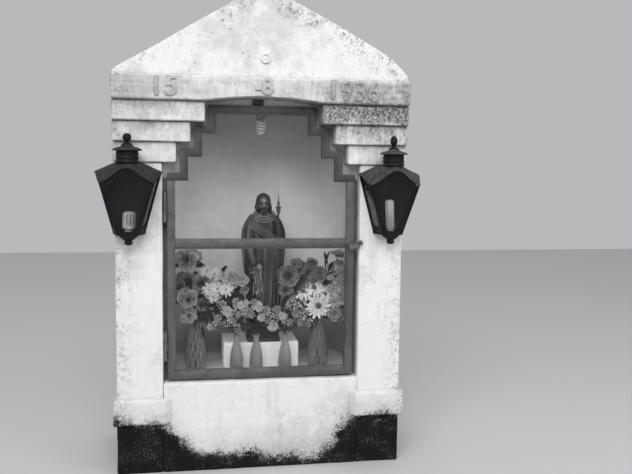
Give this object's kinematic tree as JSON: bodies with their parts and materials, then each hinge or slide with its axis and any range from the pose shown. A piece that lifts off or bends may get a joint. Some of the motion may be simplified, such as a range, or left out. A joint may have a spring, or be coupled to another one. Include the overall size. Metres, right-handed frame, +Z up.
{
  "type": "wayside shrine",
  "caption": "Whitewashed masonry niche shrine with a corbelled head, bell-shaped gable, stepped glazed door, robed figure inside and two black wall lanterns.",
  "frame": {"origin": "middle of the overall box at ground level, under the masonry", "axes": "+Z up, the front with the door faces -Y, +X to the right seen from the front"},
  "size_m": [1.182, 0.57, 1.75],
  "materials": {
    "plaster": "whitewashed render",
    "door_paint": "dark oil paint",
    "frame_paint": "mid-grey oil paint",
    "pane": "clear pane",
    "hinge_steel": "dull steel",
    "lantern_metal": "black sheet metal",
    "lantern_glass": "dusty pane",
    "lamp_white": "white lamp",
    "dark_plastic": "dark fitting",
    "dark_base": "dark painted base",
    "figure": "painted plaster figure",
    "vase_glass": "cut glass",
    "petals": "cloth flowers"
  },
  "bodies": {
    "shrine": {"base_wall": "plaster", "pilaster_left": "plaster", "pilaster_right": "plaster", "side_wall_left": "plaster", "side_wall_right": "plaster", "plinth_left": "plaster", "plinth_right": "plaster", "corbel_left_1": "plaster", "corbel_left_2": "plaster", "corbel_left_3": "plaster", "corbel_right_1": "plaster", "corbel_right_2": "plaster", "corbel_right_3": "plaster", "lintel_band": "plaster", "pediment": "plaster", "back_wall": "plaster", "step_block": "plaster", "frame_head": "frame_paint", "frame_jamb_left": "frame_paint", "frame_jamb_right": "frame_paint", "hinge_lower_fixed": "hinge_steel", "hinge_upper_fixed": "hinge_steel", "lantern_left_body": "lantern_metal", "lantern_left_roof": "lantern_metal", "lantern_left_chimney": "lantern_metal", "lantern_right_body": "lantern_metal", "lantern_right_roof": "lantern_metal", "lantern_right_chimney": "lantern_metal", "lantern_left_glass": "lantern_glass", "lantern_right_glass": "lantern_glass", "lantern_left_lamp": "lamp_white", "lantern_right_lamp": "lamp_white", "lamp_bulb": "lamp_white", "lamp_holder": "dark_plastic", "cable_box": "dark_plastic", "statue_base": "dark_base", "statue": "figure", "bottle_1": "vase_glass", "bottle_2": "vase_glass", "bottle_3": "vase_glass", "vase_left": "vase_glass", "vase_right": "vase_glass", "bouquet_left": "petals", "bouquet_right": "petals", "posy_1": "petals", "posy_2": "petals", "posy_3": "petals"},
    "door": {"door_stile_left": "door_paint", "door_stile_right": "door_paint", "door_bottom_rail": "door_paint", "door_mid_rail": "door_paint", "door_head": "door_paint", "glass_lower": "pane", "glass_upper": "pane", "hinge_lower_moving": "hinge_steel", "hinge_upper_moving": "hinge_steel", "door_latch": "hinge_steel"}
  },
  "joints": [
    {"name": "door_hinge", "type": "hinge", "parent": "shrine", "child": "door", "pos_m": [-0.353, -0.165, 0.7255], "axis": [0, 0, -1], "range_deg": [0, 95]}
  ]
}
